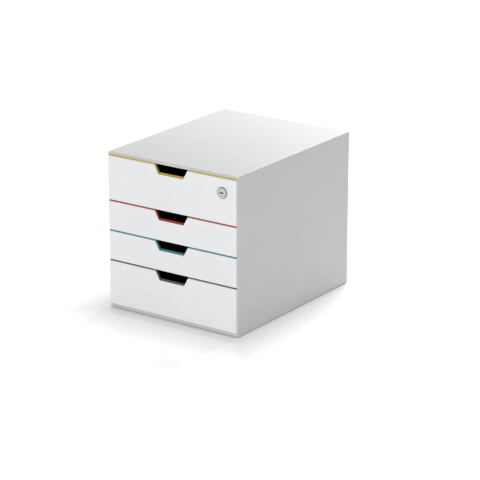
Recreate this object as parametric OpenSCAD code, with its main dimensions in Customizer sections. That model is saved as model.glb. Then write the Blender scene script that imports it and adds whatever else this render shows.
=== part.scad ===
// Desktop drawer box: four drawers in a seamless casing, the top one with a cam lock.
// Millimetres. +Z is up and -Y is the front. The origin is the middle of the footprint, on the
// surface that the feet stand on. Depths are counted back from the front plates' outer face.

/* [Overall] */
// Width of the box
box_w = 280; // [240:1:340]
// Depth of the box from the front plates' face to the back
box_d = 356; // [330:1:420]
// Height of one unit of the drawer grid
unit_h = 27.9; // [26:0.1:36]
// Grid units of each drawer, from the top down
drawer_units = [3, 2, 2, 3]; // [2:1:4]

/* [Casing] */
// Thickness of the casing's walls
wall_t = 3; // [2.6:0.1:4]
// How far the rim over the first drawer hangs below the ceiling
rim_drop = 2.5; // [1:0.1:3.5]
// How far the rail under the last drawer stands above the floor
rail_rise = 3.5; // [1:0.1:4.5]
// Depth of the rim and the rail
rim_d = 5; // [4:0.1:8]
// Radius of the casing's upper long edges
top_edge_r = 2; // [1:0.1:2.5]
// Radius of the casing's lower long edges
low_edge_r = 1; // [0.6:0.1:5]
// Radius of the casing's upright edges at the front
front_r = 0.8; // [0.5:0.1:1.4]
// Radius of the casing's upright edges at the back
back_r = 1.5; // [1:0.1:4]
// Width of the flange round the back opening
back_flange_w = 14; // [11:0.5:24]
// Thickness of the rear panel
rear_panel_t = 3; // [2.8:0.1:4]

/* [Feet] */
// How far the feet stand out of the casing
foot_h = 1; // [0.8:0.1:4]
// Diameter of a foot
foot_dia = 16; // [10:0.5:24]
// Depth of the pocket that holds a foot
foot_pocket_d = 1; // [0.5:0.1:1.4]
// Distance of a foot's middle from the sides, the front and the back
foot_inset = 24; // [18:1:40]

/* [Runners] */
// Thickness of the runner panels
runner_t = 2; // [1.8:0.1:3]
// Width of the ledges that the drawers slide on
ledge_w = 8; // [6:0.5:10]
// Thickness of the ledges
ledge_t = 2.5; // [2:0.1:3.5]
// Distance of the runner panels' front end behind the rim
runner_gap = 2.5; // [0.5:0.5:12]
// How far a drawer slides out
travel = 240; // [120:5:250]
// Width of a stop and of the lug that meets it
stop_w = 8; // [5:0.5:12]
// Length of a stop and of the lug that meets it
stop_l = 10; // [6:0.5:16]

/* [Fronts] */
// Gap between two front plates
gap = 3; // [2.4:0.1:4]
// Thickness of the front plates and of their returned edges
plate_t = 1.2; // [1:0.1:1.4]
// Depth of the front plates with their returned edges
plate_d = 3.2; // [2.6:0.1:5]
// Radius of the front plates' upright edges
plate_r = 0.8; // [0.5:0.1:1.2]
// How far the front plates stop short of the casing's sides
plate_inset = 1.7; // [1.5:0.1:2.5]
// Thickness of the coloured liners
liner_t = 2; // [1.5:0.1:2.5]
// Clear height over a liner's coloured strip
strip_gap = 1.5; // [0.4:0.1:1.8]

/* [Finger grips] */
// Width of a grip at the plate's top edge
grip_w = 71; // [60:0.5:90]
// Width of a grip at its floor
grip_floor_w = 53.5; // [40:0.5:58]
// Depth of a grip below the plate's top edge
grip_h = 16; // [12:0.5:20]
// Radius of a grip's lower corners
grip_r = 2; // [1:0.1:4]
// Wall of the liner's collar round a grip
collar_t = 1.5; // [1:0.1:2]
// Depth of the collar's rear end
collar_d = 6.4; // [6:0.1:8]
// How far the collar's walls rise over the plate's top edge
collar_rise = 1; // [0.4:0.1:1.1]
// Height of the lip at the rear of the collar's floor
lip_h = 2; // [1:0.1:3]
// Thickness of the lip
lip_t = 1.2; // [0.8:0.1:2]

/* [Trays] */
// Thickness of a tray's side and rear walls
tray_wall_t = 2; // [1.6:0.1:2.5]
// Thickness of a tray's front wall
tray_front_t = 2.5; // [2.3:0.1:3.5]
// Thickness of a tray's floor
tray_floor_t = 2; // [1.6:0.1:3]
// Radius of a tray's rear corners
tray_r = 6; // [3:0.5:10]
// Clear width between a tray and a runner panel
side_gap = 1.5; // [1:0.1:2]
// Clear length behind a closed tray
rear_gap = 4.8; // [2:0.1:12]
// Clear height between a tray's top and the grid line above it
top_gap = 1; // [0.8:0.1:2]

/* [Lock] */
// Distance of the lock from the box's right side
lock_inset = 30.5; // [28:0.5:50]
// Distance of the lock below the top plate's upper edge
lock_drop = 25.5; // [20:0.5:30]
// Diameter of the lock's outer ring
lock_ring_dia = 20.5; // [19:0.5:24]
// How far the ring stands out of the plate
lock_ring_h = 2; // [1.5:0.1:3]
// Height of the bevel round the ring's face
ring_bevel = 1.1; // [0.4:0.1:1.2]
// Diameter of the lock's threaded body
lock_body_dia = 16; // [15:0.5:17]
// Distance across the flats of the threaded body
lock_flats = 13.6; // [13.4:0.1:14.4]
// Diameter of the plug's visible head
plug_head_dia = 13; // [12.4:0.1:13.2]
// Diameter of the plug's shaft
plug_dia = 11.4; // [11.2:0.1:11.6]
// Width of the keyway
keyway_w = 6.5; // [5:0.1:7]
// Height of the keyway
keyway_h = 2; // [1.4:0.1:2.2]
// Width of the lock's cam
cam_w = 10; // [8:0.5:12]
// Thickness of the lock's cam and of its keeper
cam_t = 2; // [1.5:0.1:2.5]
// How far the keeper's tongue hangs below the cam's tip
keeper_catch = 4; // [3:0.1:6]

/* [Hidden] */
$fn = 96;
// Names of the pieces that each drawer has
DRAWER_PIECES = ["tray", "liner", "front", "screws"];
drawer_count = len(drawer_units);

// Colours, as the photograph shows them
casing_colour = [0.78, 0.79, 0.79];
front_colour = [0.93, 0.93, 0.94];
liner_colours = [[0.86, 0.71, 0.2], [0.76, 0.2, 0.16], [0.36, 0.64, 0.64], [0.54, 0.52, 0.52]];
tray_colour = [0.17, 0.17, 0.18];
screw_colour = [0.7, 0.71, 0.72];
lock_colour = [0.75, 0.75, 0.76];
wafer_colour = [0.8, 0.66, 0.36];
foot_colour = [0.2, 0.2, 0.2];

// Clearances
running_gap = 0.3;   // between a drawer and what it slides on or closes against
fit = 0.2;           // round a piece that drops into its place
hole_fit = 0.05;     // round a screw's shank
plug_fit = 0.08;     // round the lock's plug
cut = 1;             // how far a cut runs past the face that it starts from

// Casing
front_y = lock_ring_h - (box_d + lock_ring_h) / 2;
back_y = front_y + box_d;
right_x = box_w / 2;
inner_x = right_x - wall_t;
floor_z = foot_h + wall_t;
rail_z = floor_z + rail_rise;
rim_z = line_z(0);
ceiling_z = rim_z + rim_drop;
top_z = ceiling_z + wall_t;
casing_y = front_y + max(plate_d, plate_t + liner_t) + running_gap;
rim_end_y = casing_y + rim_d;
flange_y = back_y - wall_t;

// Height of the grid line under drawer k, where line 0 is over the first drawer
function units_above(k) = k == 0 ? 0 : units_above(k - 1) + drawer_units[k - 1];
function line_z(k) = rail_z + unit_h * (units_above(drawer_count) - units_above(k));
function plate_low(k) = line_z(k) + gap / 2;
function plate_high(k) = line_z(k - 1) - gap / 2;

// Runners
runner_x = inner_x - runner_t;
runner_y = rim_end_y + runner_gap;
runner_end_y = flange_y - rear_panel_t;
ledge_lift = 0.2;
tray_lift = ledge_lift + ledge_t + running_gap;

// Trays
tray_x = runner_x - side_gap;
tray_y = front_y + plate_t + liner_t;
tray_end_y = runner_end_y - rear_gap;
lug_x = runner_x - ledge_w - running_gap;
lug_y = tray_end_y - tray_r - stop_l;
stop_y = lug_y - travel - running_gap;
tray_front_r = 1;

// Front plates and liners
plate_x = right_x - plate_inset;
liner_x = plate_x - plate_t - fit;
strip_h = gap - strip_gap;
strip_x = plate_x - fit;

// Screws: [shank radius, head radius, head height]
pan_screw = [1.4, 2.8, 1.8];
flat_screw = [1.3, 2.6, 1.4];
cam_screw = [2, 5.5, 2];
recess_w = 0.9;
recess_reach = 0.6;          // a cross recess's reach, as a share of the head's radius
recess_depth = 0.6;          // and its depth, as a share of the head's height
head_top = 0.72;             // a raised head's radius at the top, as a share of that at its seat
screw_cover = 1;             // what the casing's wall keeps over a screw's tip
rear_screw_cover = 0.6;      // and what the rear panel keeps
front_screw_gap = 0.2;       // between a front screw's tip and the plate
boss_r = 4;
boss_d = 4.7;
front_screw_x = [62, 110];   // upper and lower pair, from the middle
front_screw_edge = 12;       // from the plate's upper and lower edges
runner_screw_edge = 50;      // from the panel's front and rear ends
keeper_screw_edge = 6;       // from the keeper's rear end
keeper_screw_pitch = 14;
runner_screw_l = runner_t + wall_t - screw_cover;
rear_screw_l = wall_t + rear_panel_t - rear_screw_cover;
keeper_screw_l = cam_t + rim_drop + wall_t - screw_cover;
front_screw_l = tray_front_t + liner_t - front_screw_gap;

// Feet
foot_bevel = 0.5;
foot_x = right_x - foot_inset;
foot_front_y = casing_y + foot_inset;
foot_rear_y = back_y - foot_inset;

// Lock
lock_x = right_x - lock_inset;
lock_z = plate_high(1) - lock_drop;
washer_t = 1;
washer_rim = 1;
nut_t = 4;
nut_flats = 20;
thread_end = 0.8;
nut_z = -plate_t - liner_t - tray_front_t - washer_t - nut_t;
lock_body_l = thread_end - nut_z;
plug_head_h = 1.4;
plug_face_inset = 0.3;
plug_head_base = lock_ring_h - plug_face_inset - plug_head_h;
plug_end = lock_body_l + running_gap;
drive_w = 7;
cam_screw_reach = 0.8;
wafer_size = [9.2, 5.8, 1];
wafer_count = 4;
wafer_start = 1.5;
wafer_pitch = 2;
keyway_end = 9.6;
keeper_plate_z = rim_z - cam_t;
cam_tip_gap = 0.5;
catch_gap = 0.6;
cam_l = keeper_plate_z - cam_tip_gap - lock_z;
keeper_half_w = 13;
keeper_l = 21;
keeper_pad_edge = 2;
keeper_y = front_y + plug_end - catch_gap - cam_t;

// A box between two opposite corners
module block(low, high) {
    translate(low) cube(high - low);
}

// A rectangle centred on x from y = 0, with its own corner radius at the low and the high end
module rounded_sheet(w, h, low_r, high_r) {
    translate([-w / 2, low_r]) square([w, h - low_r - high_r]);
    for (end = [[0, low_r], [1, high_r]]) translate([0, end[0] * h]) mirror([0, end[0]]) {
        translate([-w / 2 + end[1], 0]) square([w - 2 * end[1], h / 2]);
        for (side = [-1, 1]) translate([side * (w / 2 - end[1]), end[1]]) circle(end[1]);
    }
}

// Draws an x-z outline as a slab between two depths, with the outline's y = 0 at height z
module slab(depth_low, depth_high, z) {
    translate([0, front_y + depth_high, z]) rotate([90, 0, 0])
        linear_extrude(depth_high - depth_low) children();
}

// Outline of the finger grip with the plate's top edge at y = 0, grown outwards and cut at top
module grip_outline(grow, top) {
    lean = atan((grip_w - grip_floor_w) / 2 / grip_h);
    r = grip_r + grow;
    low = -grip_h - grow;
    corner = grip_floor_w / 2 + grow * (1 / cos(lean) - tan(lean));
    tangent = r / tan(45 + lean / 2);
    top_half = corner + (top - low) * tan(lean);
    side_x = corner + tangent * sin(lean);
    side_y = low + tangent * cos(lean);
    polygon([
        [-top_half, top], [-side_x, side_y], [-corner + tangent, low],
        [corner - tangent, low], [side_x, side_y], [top_half, top]
    ]);
    for (side = [-1, 1]) translate([side * (corner - tangent), low + r]) circle(r);
}

// Cross recess in a screw's head, whose top is at z = 0
module cross_recess(head_r, depth) {
    for (turn = [0, 90]) rotate(turn)
        block([-head_r * recess_reach, -recess_w / 2, -depth], [head_r * recess_reach, recess_w / 2, cut]);
}

// A screw with a raised head on the plane z = 0 and its shank below
module raised_screw(size, length) {
    difference() {
        union() {
            cylinder(h = size[2] / 2, r = size[1]);
            translate([0, 0, size[2] / 2]) cylinder(h = size[2] / 2, r1 = size[1], r2 = size[1] * head_top);
            translate([0, 0, -length]) cylinder(h = length, r = size[0]);
        }
        translate([0, 0, size[2]]) cross_recess(size[1], size[2] * recess_depth);
    }
}

// A screw whose flat head ends at z = 0, with its shank below
module sunk_screw(length) {
    difference() {
        union() {
            translate([0, 0, -flat_screw[2]])
                cylinder(h = flat_screw[2], r1 = flat_screw[0], r2 = flat_screw[1]);
            translate([0, 0, -length]) cylinder(h = length, r = flat_screw[0]);
        }
        cross_recess(flat_screw[1], flat_screw[2] * recess_depth);
    }
}

// The hole for a sunk screw: its cone from z = 0 and its shank's bore
module sunk_hole(length) {
    translate([0, 0, -flat_screw[2] - hole_fit])
        cylinder(h = flat_screw[2] + hole_fit, r1 = flat_screw[0] + hole_fit, r2 = flat_screw[1] + hole_fit);
    translate([0, 0, -length - hole_fit]) cylinder(h = length + hole_fit, r = flat_screw[0] + hole_fit);
}

// Places of the screws, with their heads along +z of what they place
module at_rear_screws() {
    for (side = [-1, 1], level = [0, 0.5, 1])
        translate([side * (inner_x - back_flange_w / 2), back_y,
                   floor_z + back_flange_w / 2 + level * (ceiling_z - floor_z - back_flange_w)])
            rotate([-90, 0, 0]) children();
}

module at_runner_screws() {
    for (k = [1, drawer_count], y = [runner_y + runner_screw_edge, runner_end_y - runner_screw_edge])
        translate([runner_x, y, (line_z(k) + line_z(k - 1)) / 2]) rotate([0, -90, 0]) children();
}

module at_keeper_screws() {
    y = keeper_y + keeper_l - keeper_screw_edge;
    for (side = [-1, 1])
        translate([lock_x + side * keeper_screw_pitch / 2, y, keeper_plate_z]) rotate([180, 0, 0]) children();
}

module at_front_screws(k) {
    y = tray_y + tray_front_t;
    z = [plate_high(k) - front_screw_edge, plate_low(k) + front_screw_edge];
    for (side = [-1, 1], pair = [0, 1])
        translate([side * front_screw_x[pair], y, z[pair]]) rotate([-90, 0, 0]) children();
}

// Places the lock's pieces: +z points out of the front, and z = 0 is the front plate's face
module at_lock() {
    translate([lock_x, front_y, lock_z]) rotate([90, 0, 0]) children();
}

module casing() {
    color(casing_colour) difference() {
        union() {
            casing_walls();
            // Pad under the ceiling that the keeper is screwed to
            pad_half_w = keeper_half_w + keeper_pad_edge;
            block([lock_x - pad_half_w, rim_end_y - cut, rim_z],
                  [lock_x + pad_half_w, keeper_y + keeper_l + keeper_pad_edge, ceiling_z + cut]);
        }
        at_rear_screws() sunk_hole(rear_screw_l);
        for (side = [0, 1]) mirror([side, 0, 0]) at_runner_screws()
            translate([0, 0, -runner_screw_l - hole_fit])
                cylinder(h = runner_screw_l, r = flat_screw[0] + hole_fit);
        at_keeper_screws() translate([0, 0, -keeper_screw_l - hole_fit])
            cylinder(h = keeper_screw_l, r = pan_screw[0] + hole_fit);
        for (side = [-1, 1], end = [-1, 1]) at_foot(side, end) translate([0, 0, foot_h - cut])
            cylinder(h = foot_pocket_d + cut, d = foot_dia + 2 * fit);
    }
}

// The seamless wrap with its front rim, front rail and rear flange
module casing_walls() {
    difference() {
        intersection() {
            slab(0, box_d, foot_h) rounded_sheet(box_w, top_z - foot_h, low_edge_r, top_edge_r);
            translate([0, casing_y, 0]) linear_extrude(top_z)
                rounded_sheet(box_w, back_y - casing_y, front_r, back_r);
        }
        block([-inner_x, rim_end_y, floor_z], [inner_x, flange_y, ceiling_z]);
        block([-inner_x, front_y, rail_z], [inner_x, rim_end_y + cut, rim_z]);
        block([back_flange_w - inner_x, flange_y - cut, floor_z + back_flange_w],
              [inner_x - back_flange_w, back_y + cut, ceiling_z - back_flange_w]);
    }
}

module rear_panel() {
    color(casing_colour) difference() {
        block([fit - inner_x, runner_end_y, floor_z + fit], [inner_x - fit, flange_y, ceiling_z - fit]);
        at_rear_screws() sunk_hole(rear_screw_l);
    }
}

// Top of the ledge at grid line k: the highest one only guides the first drawer, under the ceiling
function ledge_top(k) = min(line_z(k) + ledge_lift + ledge_t, ceiling_z - fit);

// The right runner panel, with a ledge at every grid line and a stop on each ledge but the highest
module runner_panel() {
    color(casing_colour) difference() {
        union() {
            block([runner_x, runner_y, floor_z + fit], [inner_x, runner_end_y, ceiling_z - fit]);
            for (k = [0:drawer_count])
                block([runner_x - ledge_w, runner_y, line_z(k) + ledge_lift],
                      [runner_x + runner_t / 2, runner_end_y, ledge_top(k)]);
            for (k = [1:drawer_count])
                block([lug_x - stop_w, stop_y - stop_l, line_z(k) + ledge_lift],
                      [runner_x - ledge_w / 2, stop_y, ledge_top(k)]);
        }
        at_runner_screws() sunk_hole(runner_screw_l);
    }
}

module runner_screws() {
    color(screw_colour) at_runner_screws() sunk_screw(runner_screw_l);
}

module rear_screws() {
    color(screw_colour) at_rear_screws() sunk_screw(rear_screw_l);
}

// The lock's keeper: a plate under the pad with a tongue that hangs in front of the turned-up cam
module lock_keeper() {
    color(lock_colour) difference() {
        union() {
            block([lock_x - keeper_half_w, keeper_y, keeper_plate_z],
                  [lock_x + keeper_half_w, keeper_y + keeper_l, keeper_plate_z + cam_t]);
            block([lock_x - keeper_half_w, keeper_y, keeper_plate_z - cam_tip_gap - keeper_catch],
                  [lock_x + keeper_half_w, keeper_y + cam_t, keeper_plate_z + cam_t]);
        }
        at_keeper_screws() translate([0, 0, -cam_t - cut])
            cylinder(h = cam_t + 2 * cut, r = pan_screw[0] + hole_fit);
    }
}

module keeper_screws() {
    color(screw_colour) at_keeper_screws() raised_screw(pan_screw, keeper_screw_l);
}

// Places a foot: side is -1 at the left and 1 at the right, end is -1 at the front and 1 at the back
module at_foot(side, end) {
    translate([side * foot_x, end < 0 ? foot_front_y : foot_rear_y, 0]) children();
}

module foot(side, end) {
    color(foot_colour) at_foot(side, end) {
        cylinder(h = foot_h / 2, d1 = foot_dia - 2 * foot_bevel, d2 = foot_dia);
        translate([0, 0, foot_h / 2]) cylinder(h = foot_h / 2 + foot_pocket_d, d = foot_dia);
    }
}

// The tray of drawer k: floor, four walls and the two lugs that meet the stops
module drawer_tray(k) {
    low = line_z(k) + tray_lift;
    high = line_z(k - 1) - top_gap;
    inner_l = tray_end_y - tray_y - tray_front_t - tray_wall_t;
    color(tray_colour) difference() {
        union() {
            difference() {
                translate([0, tray_y, low]) linear_extrude(high - low)
                    rounded_sheet(2 * tray_x, tray_end_y - tray_y, tray_front_r, tray_r);
                translate([0, tray_y + tray_front_t, low + tray_floor_t]) linear_extrude(high - low)
                    rounded_sheet(2 * (tray_x - tray_wall_t), inner_l, tray_front_r, tray_r - tray_wall_t);
            }
            for (side = [0, 1]) mirror([side, 0, 0])
                block([lug_x - stop_w, lug_y, line_z(k) + ledge_lift + running_gap],
                      [lug_x, lug_y + stop_l, low + tray_floor_t / 2]);
        }
        slab(plate_t + liner_t - cut, collar_d + cut, plate_high(k))
            grip_outline(collar_t + fit, strip_h + cut);
        at_front_screws(k) {
            translate([0, 0, -tray_front_t - cut])
                cylinder(h = tray_front_t + 2 * cut, r = pan_screw[0] + fit);
            translate([0, 0, -tray_front_t - cut])
                cylinder(h = boss_d - plate_t - liner_t + cut + hole_fit, r = boss_r + fit);
        }
        if (k == 1) lock_hole();
    }
}

// The white front plate of drawer k: a shallow pan, open at the top, with four screw bosses
module drawer_front(k) {
    low = plate_low(k);
    high = plate_high(k);
    color(front_colour) difference() {
        union() {
            difference() {
                translate([0, front_y, low]) linear_extrude(high - low) front_plan();
                block([plate_t - plate_x, front_y + plate_t, low + plate_t],
                      [plate_x - plate_t, front_y + plate_d + cut, high + cut]);
            }
            at_front_screws(k) translate([0, 0, -tray_front_t - liner_t - plate_t / 2])
                cylinder(h = boss_d - plate_t / 2, r = boss_r);
        }
        slab(-cut, plate_d + cut, high) grip_outline(0, cut);
        at_front_screws(k) translate([0, 0, -front_screw_l - hole_fit])
            cylinder(h = front_screw_l, r = pan_screw[0] + hole_fit);
        if (k == 1) lock_hole();
    }
}

// Plan of a front plate, with its two front corners rounded
module front_plan() {
    translate([plate_r - plate_x, 0]) square([2 * (plate_x - plate_r), plate_d]);
    translate([-plate_x, plate_r]) square([2 * plate_x, plate_d - plate_r]);
    for (side = [-1, 1]) translate([side * (plate_x - plate_r), plate_r]) circle(plate_r);
}

// The coloured liner of drawer k: a panel behind the plate, a strip over it and a collar in the grip
module drawer_liner(k) {
    high = plate_high(k);
    color(liner_colours[(k - 1) % len(liner_colours)]) {
        difference() {
            union() {
                block([-liner_x, front_y + plate_t, plate_low(k) + plate_t + fit],
                      [liner_x, tray_y, high + strip_h]);
                block([-strip_x, front_y + plate_t, high + fit], [strip_x, tray_y, high + strip_h]);
                slab(plate_t, collar_d, high) grip_outline(collar_t, collar_rise);
            }
            difference() {
                slab(-cut, collar_d + cut, high) grip_outline(0, strip_h + cut);
                slab(collar_d - lip_t, collar_d + 2 * cut, high)
                    translate([-grip_w, -2 * grip_h]) square([2 * grip_w, grip_h + lip_h]);
            }
            at_front_screws(k) translate([0, 0, -tray_front_t - liner_t - cut])
                cylinder(h = liner_t + 2 * cut, r = boss_r + fit);
            if (k == 1) lock_hole();
        }
    }
}

module drawer_screws(k) {
    color(screw_colour) at_front_screws(k) raised_screw(pan_screw, front_screw_l);
}

// The hole for the lock's threaded body, through plate, liner and tray
module lock_hole() {
    at_lock() translate([0, 0, -lock_body_l])
        cylinder(h = lock_body_l + cut, d = lock_body_dia + 2 * hole_fit);
}

// The lock's threaded body with its bevelled ring and a counterbore for the plug's head
module lock_barrel() {
    color(lock_colour) at_lock() difference() {
        union() {
            cylinder(h = lock_ring_h - ring_bevel, d = lock_ring_dia);
            translate([0, 0, lock_ring_h - ring_bevel])
                cylinder(h = ring_bevel, d1 = lock_ring_dia, d2 = lock_ring_dia - 2 * ring_bevel);
            translate([0, 0, -lock_body_l]) linear_extrude(lock_body_l + plug_head_base) intersection() {
                circle(d = lock_body_dia);
                square([2 * lock_body_dia, lock_flats], center = true);
            }
        }
        translate([0, 0, -lock_body_l - cut])
            cylinder(h = lock_body_l + lock_ring_h + 2 * cut, d = plug_dia + 2 * plug_fit);
        translate([0, 0, plug_head_base - plug_fit])
            cylinder(h = lock_ring_h, d = plug_head_dia + 2 * plug_fit);
    }
}

module lock_washer() {
    color(screw_colour) at_lock() translate([0, 0, nut_z + nut_t]) difference() {
        cylinder(h = washer_t, d = nut_flats + 2 * washer_rim);
        translate([0, 0, -cut]) cylinder(h = washer_t + 2 * cut, d = lock_body_dia + 2 * fit);
    }
}

module lock_nut() {
    color(screw_colour) at_lock() translate([0, 0, nut_z]) difference() {
        cylinder(h = nut_t, r = nut_flats / 2 / cos(30), $fn = 6);
        translate([0, 0, -cut]) cylinder(h = nut_t + 2 * cut, d = lock_body_dia + 2 * hole_fit);
    }
}

// Middle of wafer i along the lock's axis
function wafer_z(i) = -wafer_start - wafer_pitch * i;

// The lock's plug: visible head, shaft with wafer slots, keyway and a square end for the cam
module lock_plug() {
    slot = wafer_size + [fit, fit, 2 * hole_fit];
    color(lock_colour) at_lock() difference() {
        union() {
            translate([0, 0, plug_head_base]) cylinder(h = plug_head_h, d = plug_head_dia);
            translate([0, 0, -plug_end]) cylinder(h = plug_end + plug_head_base, d = plug_dia);
            block([-drive_w / 2, -drive_w / 2, -plug_end - cam_t], [drive_w / 2, drive_w / 2, -plug_end]);
        }
        translate([0, 0, -keyway_end]) linear_extrude(keyway_end + lock_ring_h) keyway(0);
        for (i = [0:wafer_count - 1]) translate([0, 0, wafer_z(i)]) cube(slot, center = true);
        translate([0, 0, -plug_end - cam_t - cut])
            cylinder(h = cam_t + cut + cam_screw_reach + fit, r = cam_screw[0] + hole_fit);
    }
}

// Outline of the keyway: a slot with round ends
module keyway(grow) {
    half = (keyway_w - keyway_h) / 2;
    translate([-half, -keyway_h / 2 - grow]) square([2 * half, keyway_h + 2 * grow]);
    for (side = [-1, 1]) translate([side * half, 0]) circle(keyway_h / 2 + grow);
}

// The sliding wafers in the plug, each with a window for the key
module lock_wafers() {
    color(wafer_colour) at_lock() for (i = [0:wafer_count - 1]) translate([0, 0, wafer_z(i)]) difference() {
        cube(wafer_size, center = true);
        translate([0, 0, -wafer_size[2]]) linear_extrude(2 * wafer_size[2]) keyway(fit);
    }
}

// The lock's cam, drawn unlocked: it points to the box's middle
module lock_cam() {
    tip = cam_l - cam_w / 2;
    color(lock_colour) at_lock() translate([0, 0, -plug_end - cam_t]) linear_extrude(cam_t) difference() {
        union() {
            circle(drive_w);
            translate([-tip, -cam_w / 2]) square([tip, cam_w]);
            translate([-tip, 0]) circle(cam_w / 2);
        }
        square(drive_w + 2 * hole_fit, center = true);
    }
}

module lock_cam_screw() {
    color(screw_colour) at_lock() translate([0, 0, -plug_end - cam_t]) mirror([0, 0, 1])
        raised_screw(cam_screw, cam_t + cam_screw_reach);
}

casing();
rear_panel();
mirror([1, 0, 0]) runner_panel();  // left_runner_panel
runner_panel();  // right_runner_panel
lock_keeper();
foot(-1, -1);  // foot_front_left
foot(1, -1);  // foot_front_right
foot(-1, 1);  // foot_rear_left
foot(1, 1);  // foot_rear_right
rear_screws();
mirror([1, 0, 0]) runner_screws();  // left_runner_screws
runner_screws();  // right_runner_screws
keeper_screws();
for (k = [1:drawer_count]) {
    drawer_tray(k);
    drawer_liner(k);
    drawer_front(k);
    drawer_screws(k);
}
lock_barrel();
lock_washer();
lock_nut();
lock_plug();
lock_wafers();
lock_cam();
lock_cam_screw();
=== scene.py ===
"""A lockable desktop box with four drawers, dressed on the fixed frame of its CAD parts.

Every place comes from the frame's own parts, in metres, with +Z up and the fronts facing -Y.
"""

import logging
import math
from collections.abc import Callable, Sequence
from dataclasses import dataclass, field
from enum import Enum
from typing import ClassVar

import bmesh
import bpy
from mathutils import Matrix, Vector

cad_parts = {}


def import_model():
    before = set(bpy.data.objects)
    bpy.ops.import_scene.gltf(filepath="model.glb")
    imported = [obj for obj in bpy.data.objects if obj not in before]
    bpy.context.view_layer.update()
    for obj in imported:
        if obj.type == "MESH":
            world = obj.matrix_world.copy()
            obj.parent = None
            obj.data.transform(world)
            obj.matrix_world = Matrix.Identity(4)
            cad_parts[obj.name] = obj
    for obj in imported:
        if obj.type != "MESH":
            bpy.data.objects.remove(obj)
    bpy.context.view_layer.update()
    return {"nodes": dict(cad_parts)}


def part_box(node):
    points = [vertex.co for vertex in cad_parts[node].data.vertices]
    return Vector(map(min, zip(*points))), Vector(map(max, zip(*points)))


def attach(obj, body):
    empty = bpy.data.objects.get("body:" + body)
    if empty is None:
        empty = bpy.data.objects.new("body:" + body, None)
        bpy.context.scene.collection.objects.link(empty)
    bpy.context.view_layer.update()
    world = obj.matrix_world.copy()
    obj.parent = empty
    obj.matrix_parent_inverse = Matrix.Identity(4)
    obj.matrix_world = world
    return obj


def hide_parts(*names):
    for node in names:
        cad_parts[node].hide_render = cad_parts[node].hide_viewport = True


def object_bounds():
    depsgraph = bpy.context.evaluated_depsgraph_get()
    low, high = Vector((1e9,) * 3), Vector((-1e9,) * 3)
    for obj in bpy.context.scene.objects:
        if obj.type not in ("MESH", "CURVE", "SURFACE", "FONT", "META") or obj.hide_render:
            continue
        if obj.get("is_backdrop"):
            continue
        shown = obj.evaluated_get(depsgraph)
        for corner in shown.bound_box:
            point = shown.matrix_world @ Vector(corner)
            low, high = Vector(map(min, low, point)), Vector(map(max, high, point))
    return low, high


MM = 0.001
PHOTO_SIDE = 480
EVEN = 0.02 * MM  # points that differ by less lie on one plane
STRAIGHT = 0.99  # a unit direction with a larger part along an axis runs along that axis
MERGE = 0.002 * MM  # corners that are closer are made one
SHARP = math.radians(40)  # edges that turn by more are broken by a rounding
CREASE = math.radians(35)  # edges that turn by more stay sharp in the shading
NOISE_MIDDLE = (0.3, 0.7)  # most of a noise's values lie between these
WHITE = (1, 1, 1, 1)

log = logging.getLogger("drawer_box")


# ---------------------------------------------------------------------------------------------
# Finishes
# ---------------------------------------------------------------------------------------------


def linear(red: int, green: int, blue: int) -> tuple[float, float, float, float]:
    """Turns screen values from 0 to 255 into the linear colour that a shader takes.

    Args:
        red: Red on the screen.
        green: Green on the screen.
        blue: Blue on the screen.

    Returns:
        The linear colour with an alpha of 1.
    """

    def one(value: int) -> float:
        """The linear value of one screen value."""
        share = value / 255
        return share / 12.92 if share <= 0.04045 else ((share + 0.055) / 1.055) ** 2.4

    return one(red), one(green), one(blue), 1.0


class Tint(Enum):
    """The colours of the box, as screen values."""

    CASING = (201, 202, 202)
    RUNNER = (170, 171, 171)
    FRONT = (235, 236, 238)
    YELLOW = (212, 184, 58)
    RED = (196, 66, 56)
    TEAL = (74, 156, 158)
    SLATE = (108, 105, 106)
    CHARCOAL = (44, 44, 46)
    NICKEL = (196, 195, 192)
    # darker nickel: painted dark reflection on the lock's bevel and ring sides, painted shade in the gap
    # round the plug
    NICKEL_EDGE = (112, 111, 110)
    ZINC = (176, 178, 182)
    BRASS = (190, 156, 86)
    RUBBER = (40, 40, 42)
    FLOOR = (250, 250, 250)

    @property
    def rgba(self) -> tuple[float, float, float, float]:
        """The colour as a shader takes it."""
        return linear(*self.value)


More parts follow.
